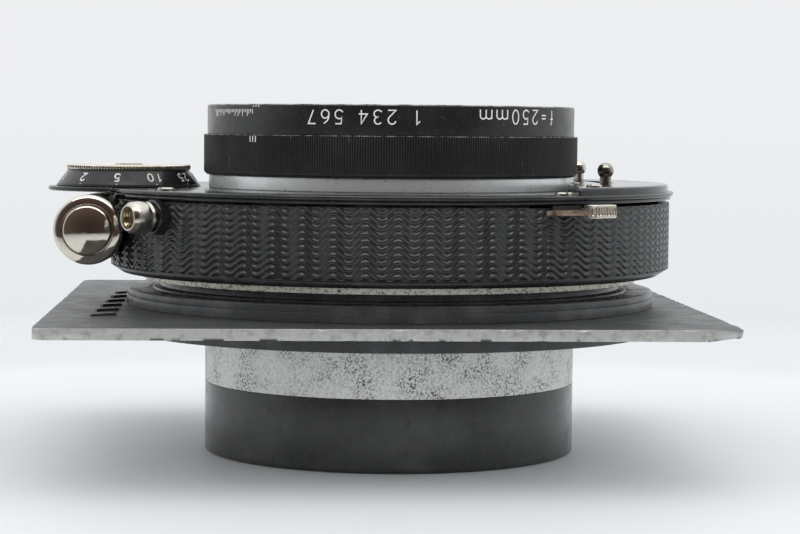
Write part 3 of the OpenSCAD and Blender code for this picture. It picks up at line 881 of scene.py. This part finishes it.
def finger_tab():
    """Thick tab with rounded ends and upright serrations, in front of the strip's end."""
    top = high("aperture_tab").z
    foot = low("aperture_tab").z - 1.35
    inner, outer = 53.3, 55.7
    teeth_foot, teeth_top, tooth = foot + 0.55, top - 0.28, 0.42
    plain, corner = 0.72, 0.9
    outline = rounded([(inner, foot, 0.1), (outer, foot, 0.25), (outer, top, 0.3), (inner, top, 0.2)], 4)
    side = [p for p in outline if p[0] > outer - 0.01]
    split = outline.index(side[0]) + 1
    outline[split:split] = line((outer, side[0][1]), (outer, side[-1][1]), 8)[1:]

    def shape(turn, r, z):
        along = math.degrees(turn) - TAB_ANGLE
        along = (along + 180) % 360 - 180
        share = abs(along) / (TAB_SWEEP / 2)
        if r > inner + 1:
            r -= corner * (max(0.0, share - plain) / (1 - plain)) ** 2
        if r > inner + 1 and teeth_foot < z < teeth_top:
            r -= tooth * (0.5 + 0.5 * math.cos(2 * math.pi * TAB_TEETH * along / TAB_SWEEP)) ** 1.5
        return r, z

    arc = (TAB_ANGLE - TAB_SWEEP / 2, TAB_ANGLE + TAB_SWEEP / 2)
    tab = turned("aperture_finger_tab", outline, TAB, 108, shape=shape, arc=arc, sharp=60)
    settle(tab, "satin_nickel", "aperture_tab", body="aperture")


# ---------- lens cells ----------

CELL_INNER = 32.45


def front_barrel():
    foot, top = low("front_barrel").z, low("grip_ring").z
    neck_r, thread_r, seat_r, seat_top = 33.3, 30.4, 32.4, 58.2
    outline = rounded([(27.4, foot), (thread_r, foot), (thread_r, plate_top), (neck_r, plate_top, 0.1),
                       (neck_r, top, 0.1), (seat_r, top), (seat_r, seat_top), (29.4, seat_top),
                       (29.4, 49.34), (27, 49.34), (27, 47.6), (27.4, 47.6)])
    settle(turned("front_barrel_turned", outline, NECK, 256), "aluminium", "front_barrel")


def grip_ring():
    foot, top, ring_r = span("grip_ring")
    rib_foot, groove = foot + 0.62, 0.18

    def ribs(turn, r, z):
        if r > ring_r - 0.02 and rib_foot < z < top - 0.05:
            wave = 0.5 + 0.5 * math.cos(GRIP_RIBS * turn)
            r -= groove * (1 - wave) ** 1.2
        return r, z

    outline = [(CELL_INNER, foot), (ring_r - 0.5, foot), (ring_r - 0.03, rib_foot - 0.12),
               (ring_r, rib_foot + 0.02), (ring_r, top - 0.12), (ring_r - 0.06, top - 0.02),
               (ring_r - 0.12, top), (CELL_INNER, top)]
    settle(turned("grip_ring_ribbed", outline, GRIP, GRIP_RIBS * 6, shape=ribs, sharp=60),
           "black_anodised", "grip_ring")


def name_ring():
    foot, top, ring_r = span("name_ring")
    pitch, turns, crest, root = 0.75, 5, 31.2, 31.55
    outline = rounded([(CELL_INNER, foot), (ring_r, foot, 0.08), (ring_r, top - 0.25, 0.15),
                       (ring_r - 0.25, top, 0.1), (31.5, top, 0.12), (crest, top - 0.35)])
    for i in range(turns):
        z = top - 0.55 - pitch * i
        outline += [(root, z), (crest, z - pitch / 2)]
    outline += [(crest, 58.25), (CELL_INNER, 58.25)]
    settle(turned("name_ring_threaded", outline, NAME, 288, sharp=30), "black_anodised", "name_ring")


def ring_marks():
    """Figures and ticks on the name ring, and the index lines where it meets the grip ring."""
    grip_foot, seam, top = low("grip_ring").z, low("name_ring").z, high("name_ring").z
    grip_r, name_r = radius("grip_ring"), radius("name_ring")
    middle = (seam + top) / 2

    def on_name(angle, z):
        return on_turned(0, name_r, seam, name_r, top, angle - 90, z)

    def on_grip(angle, z):
        return on_turned(0, grip_r, grip_foot, grip_r, seam, angle - 90, z)

    # a row of uneven ticks where the small writing would be
    ticks, tick_gap, tick_foot = 30, 0.46, -0.6
    generator = random.Random(7)
    small = []
    for i in range(ticks):
        x = (i - ticks / 2) * tick_gap
        small.append([(x, tick_foot), (x, tick_foot + generator.choice((0.55, 0.8, 1.2)))])
    marks("name_ring_figures",
          [(written("1 234 567", 2.34), 0.22, on_name(-8, middle + 0.5)),
           (written("f=250mm", 2.4), 0.22, on_name(42.6, middle + 0.75)),
           (small, 0.14, on_name(-57.5, middle + 1.15))], "black_anodised")

    index_angle, index_gap = -44.3, 1.15
    sets = []
    for i in (-1, 0, 1):
        angle = index_angle + index_gap * i
        sets.append(([[(0, -0.52), (0, 0.52)]], 0.17, on_grip(angle, seam - 0.75)))
        sets.append(([[(0, -0.16), (0, 0.12)]], 0.2, on_name(angle + 0.2, top - 0.42)))
    marks("index_lines", sets, "black_anodised")


def rear_cell():
    foot, top, hood_r = span("rear_hood")
    bore, ridge, pitch, ridges = 31.45, 0.22, 0.7, 13
    outline = rounded([(bore, foot, 0.15), (hood_r, foot, 0.55), (hood_r, top, 0.14), (bore, top)], 6)
    for i in range(ridges):
        z = top - 2.6 - pitch * i
        outline += [(bore + ridge, z), (bore, z - pitch / 2)]
    settle(turned("rear_hood_baffled", outline, HOOD, 288, sharp=30), "black_anodised", "rear_hood")

    foot, barrel_r, thread_r = low("rear_barrel").z, radius("rear_barrel"), 30.4
    outline = rounded([(29.6, foot), (31.4, foot), (31.4, top), (barrel_r, top, 0.1), (barrel_r, 22),
                       (thread_r, 22), (thread_r, 32.3), (27.4, 32.3), (27.4, 20.4), (26.6, 20.4),
                       (26.6, 18.86), (29.6, 18.86)])
    settle(turned("rear_barrel_turned", outline, BARREL, 288), "aluminium", "rear_barrel")


# ---------- board and its clamping rings ----------

BOARD_TURN = math.radians(3.4)
BOARD_SHIFT = 2.9
BOARD_HALF = 57.25
BOARD_CORNER = 2.5
CLAMP_BORE = 32.3


def apart(turn, other):
    """Size of the angle between two directions."""
    return abs(math.atan2(math.sin(turn - other), math.cos(turn - other)))


def board_edge(turn):
    """Distance from the board's middle to its rounded outline, in the board's own directions."""
    c, s = abs(math.cos(turn)), abs(math.sin(turn))
    flat = BOARD_HALF / max(c, s)
    inner = BOARD_HALF - BOARD_CORNER
    if min(c, s) * flat <= inner:
        return flat
    along = inner * (c + s)
    return along + math.sqrt(max(0.0, along ** 2 - 2 * inner ** 2 + BOARD_CORNER ** 2))


def nick(turn, z):
    """How far the edge is worn back, mostly at its top and bottom."""
    spot = Vector((math.cos(turn) * 22, math.sin(turn) * 22, z * 0.25))
    rough = max(0.0, noise.noise(spot) - 0.12) * 0.9
    fine = abs(noise.noise(spot * 5)) * 0.10
    near_rim = abs(z - (board_foot + board_top) / 2) / (board_top - board_foot) * 2
    return min(0.5, (rough + fine) * near_rim ** 2)


def lens_board():
    place = Matrix.Rotation(BOARD_TURN, 4, "Z") @ Matrix.Translation((-BOARD_SHIFT, 0, 0))
    outline = rounded([(0.5, board_foot), (1.0, board_foot, 0.1), (1.0, board_top, 0.14),
                       (0.5, board_top)])
    side = [p for p in outline if p[0] > 0.95]
    half = len(side) // 2
    levels = side[:half] + line(side[half - 1], side[half], 6)[1:] + side[half:]
    outline = [(0.5, board_foot)] + levels + [(0.5, board_top)]
    bent = math.radians(-45)

    def shape(turn, r, z):
        if r < 0.9:
            return 20, z
        bend = max(0.0, 1 - apart(turn, bent) / math.radians(3.0)) ** 0.9
        reach = board_edge(turn) - (1.0 - r) - nick(turn, z)
        share = (z - board_foot) / (board_top - board_foot)
        reach -= bend * 0.5 * (1 - share)
        z = z + bend * 0.75 * (1 - share) - bend * 0.28 * share
        return reach, z

    coarse = [0.5 * i for i in range(720)]
    corners = [45 + 90 * k - 5 + 0.1 * i for k in range(4) for i in range(101)]
    angles = sorted({round(a, 3) for a in coarse if all(abs(a - 45 - 90 * k) > 5 for k in range(4))}
                    | {round(a, 3) for a in corners})
    board = turned("lens_board_worn", outline, LACQUER, place=place, shape=shape, angles=angles, sharp=32)
    bore = turned("bore", [(0, board_foot - 1), (CLAMP_BORE, board_foot - 1),
                           (CLAMP_BORE, board_top + 1), (0, board_top + 1)], LACQUER, 180)
    board = carved(board, bore, sharp=32)
    settle(board, "board_lacquer", "lens_board")


def raised_bars():
    """A row of plain raised bars on the board, left of the clamping ring."""
    verts, faces = [], []
    first_y, pitch, count = -35.5, 10.4, 6
    for i in range(count):
        y = first_y + pitch * i
        x = -48.4 - 0.55 * i
        place = Matrix.Translation((x, y, board_top)) @ Matrix.Rotation(math.radians(28 + 5 * i), 4, "Z")
        length, width, height = 4.6 - 0.25 * i, 0.9, 0.42
        base = len(verts)
        for z, inset in ((-0.05, 0.0), (height * 0.7, 0.10), (height, 0.28)):
            for sx, sy in ((-1, -1), (1, -1), (1, 1), (-1, 1)):
                verts.append(place @ Vector((sx * (length / 2 - inset), sy * (width / 2 - inset), z)))
        faces.append(tuple(base + k for k in (3, 2, 1, 0)))
        faces.append(tuple(base + 8 + k for k in range(4)))
        for level in (0, 4):
            faces += [(base + level + k, base + level + (k + 1) % 4, base + level + 4 + (k + 1) % 4,
                       base + level + 4 + k) for k in range(4)]
    bars = solid("board_raised_bars", verts, faces, ENAMEL, 20)
    settle(bars, "board_lacquer")


def plain_ring(name, node, material, slot, foot_edge, top_edge):
    foot, top, ring_r = span(node)
    outline = rounded([(CLAMP_BORE, foot), (ring_r, foot, foot_edge), (ring_r, top, top_edge),
                       (CLAMP_BORE, top)])
    settle(turned(name, outline, material), slot, node)


def clamping_rings():
    plain_ring("mounting_flange_ring", "mounting_flange", FLANGE, "black_enamel", 0.08, 0.12)
    _, foot, flange_r = span("mounting_flange")
    outer, step_r, groove_r = flange_r - 0.1, 42.0, 43.6
    top, back_foot = 29.85, high("flange_collar").z
    outline = rounded([(CLAMP_BORE, foot), (outer, foot, 0.06), (outer, top, 0.32),
                       (groove_r + 0.35, top, 0.08), (groove_r + 0.25, top - 0.3),
                       (groove_r - 0.1, top - 0.3), (groove_r - 0.3, top + 0.25, 0.15),
                       (step_r, top + 0.35, 0.1), (step_r - 0.2, back_foot), (CLAMP_BORE, back_foot)])
    settle(turned("flange_collar_stepped", outline, FLANGE), "black_enamel", "flange_collar")
    plain_ring("back_ring_satin", "back_ring", BACK_RING, "satin_nickel", 0.12, 0.1)


# ---------- pieces whose CAD shape is right ----------

KEPT = {
    BRIGHT: ["air_cylinder", "dial_stud"],
    SATIN: ["plate_screws", "cover_screws", "main_spring", "piston_pin", "release_plunger"],
    POINTER: ["aperture_lever"],
    FLANGE: ["retaining_ring"],
    THREAD_BRASS: ["piston"],
    STEEL: ["aperture_ring", "cocking_ring", "release_ring"],
    INNER_BLACK: ["iris_base", "shutter_base", "front_lock_ring", "front_spacer", "rear_lock_ring",
                  "rear_spacer"],
    BLADE: [f"iris_blade_{i}" for i in range(1, 9)] + [f"shutter_blade_{i}" for i in range(1, 6)],
    GLASS: ["front_element", "front_inner_element", "rear_element", "rear_inner_element"],
}


def paint_kept_nodes():
    for material, names in KEPT.items():
        for name in names:
            mesh = NODES[name].data
            mesh.materials.clear()
            mesh.materials.append(material)


# ---------- studio ----------


def make_floor():
    floor = turned("floor", [(0, -0.02), (340, -0.02), (340, -1), (0, -1)], floor_paper(), 96)


def make_world():
    """Pale room: even to the camera and to matt surfaces, darker on the camera's side in mirrors."""
    world = bpy.data.worlds.new("studio")
    bpy.context.scene.world = world
    world.use_nodes = True
    nodes, links = world.node_tree.nodes, world.node_tree.links
    background = nodes["Background"]
    seen = nodes.new("ShaderNodeBackground")
    even = nodes.new("ShaderNodeBackground")
    path = nodes.new("ShaderNodeLightPath")
    direction = nodes.new("ShaderNodeTexCoord").outputs["Generated"]
    split = nodes.new("ShaderNodeSeparateXYZ")
    links.new(direction, split.inputs["Vector"])

    def ramp_over(letter, stops):
        spread = nodes.new("ShaderNodeMapRange")
        spread.inputs["From Min"].default_value = -1
        spread.inputs["From Max"].default_value = 1
        links.new(split.outputs[letter], spread.inputs["Value"])
        ramp = nodes.new("ShaderNodeValToRGB")
        links.new(spread.outputs["Result"], ramp.inputs["Fac"])
        elements = ramp.color_ramp.elements
        while len(elements) < len(stops):
            elements.new(0.5)
        for element, (at, colour) in zip(elements, stops):
            element.position = (at + 1) / 2
            element.color = (*colour, 1)
        return ramp.outputs["Color"]

    def switched(ray, otherwise, chosen):
        """The chosen shader for one kind of ray, the other shader for the rest."""
        mix = nodes.new("ShaderNodeMixShader")
        links.new(path.outputs[ray], mix.inputs["Fac"])
        links.new(otherwise.outputs[0], mix.inputs[1])
        links.new(chosen.outputs[0], mix.inputs[2])
        return mix

    around = ramp_over("Y", [(-1.0, (0.060, 0.042, 0.036)), (-0.70, (0.13, 0.095, 0.085)),
                             (-0.30, (0.50, 0.51, 0.52)), (0.0, (0.95, 0.97, 0.99)),
                             (1.0, (1.0, 1.02, 1.04))])
    upward = ramp_over("Z", [(-1.0, (0.75, 0.77, 0.78)), (0.25, (0.82, 0.82, 0.82)),
                             (0.6, (1.15, 1.15, 1.15)), (1.0, (1.35, 1.35, 1.35))])
    product = nodes.new("ShaderNodeMix")
    product.data_type = "RGBA"
    product.blend_type = "MULTIPLY"
    product.inputs["Factor"].default_value = 1
    links.new(around, product.inputs[6])
    links.new(upward, product.inputs[7])
    links.new(product.outputs[2], background.inputs["Color"])
    background.inputs["Strength"].default_value = 1.0

    pale = ramp_over("Z", [(-0.25, (0.745, 0.775, 0.790)), (-0.05, (0.815, 0.838, 0.855)),
                           (0.02, (0.850, 0.860, 0.875)), (0.08, (0.862, 0.868, 0.880))])
    links.new(pale, seen.inputs["Color"])
    even.inputs["Color"].default_value = (1.03, 1.05, 1.06, 1)
    room = switched("Is Camera Ray", switched("Is Diffuse Ray", background, even), seen)
    links.new(room.outputs[0], nodes["World Output"].inputs["Surface"])


def soft_light(name, position, target, size, power, colour=(1, 1, 1), mirrored=True):
    light = bpy.data.lights.new(name, "AREA")
    light.shape = "RECTANGLE"
    light.size, light.size_y = size
    light.energy = power
    light.color = colour
    lamp = bpy.data.objects.new(name, light)
    bpy.context.collection.objects.link(lamp)
    lamp.visible_glossy = mirrored
    lamp.location = position
    lamp.rotation_euler = (Vector(target) - Vector(position)).to_track_quat("-Z", "Y").to_euler()
    return lamp


def make_lights():
    middle = (0, 0, 0.04)
    soft_light("overhead", (0.05, 0.05, 0.75), middle, (0.55, 0.45), 0.25)
    sheen = soft_light("sheen", (0.0, -0.30, 0.60), middle, (0.90, 0.22), 1.8)
    sheen.visible_diffuse = False
    soft_light("window_left", (-0.75, -0.28, 0.42), middle, (0.35, 0.45), 0.7, (1.0, 0.98, 0.95), False)
    soft_light("window_right", (0.70, -0.20, 0.38), middle, (0.30, 0.40), 0.7, (0.95, 0.98, 1.0), False)


def make_camera():
    camera_data = bpy.data.cameras.new("camera")
    camera_data.sensor_width = 36
    camera_data.lens = 102.44
    camera_data.clip_start = 0.01
    camera_data.clip_end = 20
    camera = bpy.data.objects.new("camera", camera_data)
    bpy.context.collection.objects.link(camera)
    bpy.context.scene.camera = camera
    yaw, pitch, roll = (math.radians(a) for a in (0.24, 3.51, 0.50))
    ahead = Vector((math.sin(yaw) * math.cos(pitch), math.cos(yaw) * math.cos(pitch), -math.sin(pitch)))
    right = Vector((math.cos(yaw), -math.sin(yaw), 0))
    up = right.cross(ahead)
    across = right * math.cos(roll) + up * math.sin(roll)
    upright = up * math.cos(roll) - right * math.sin(roll)
    turn = Matrix((across, upright, -ahead)).transposed()
    camera.matrix_world = Matrix.Translation(Vector((0.13, -418.85, 59.08)) * MM) @ turn.to_4x4()


make_camera()
make_world()
make_lights()
make_floor()
bpy.context.scene.view_settings.view_transform = "Standard"

paint_kept_nodes()
ribbed_case()
front_plate()
lever_cover()
speed_dial()
cylinder_cap("cylinder_cap_front_dome", "cylinder_cap_front", -1, True)
cylinder_cap("cylinder_cap_rear_dome", "cylinder_cap_rear", 1, False)
release_socket()
ball_knob("cocking_knob_ball", "cocking_knob", "cocking", DARK_NICKEL)
ball_knob("release_knob_ball", "release_knob", "release", BRIGHT)
finger_tab()
front_barrel()
grip_ring()
name_ring()
ring_marks()
rear_cell()
lens_board()
raised_bars()
clamping_rings()
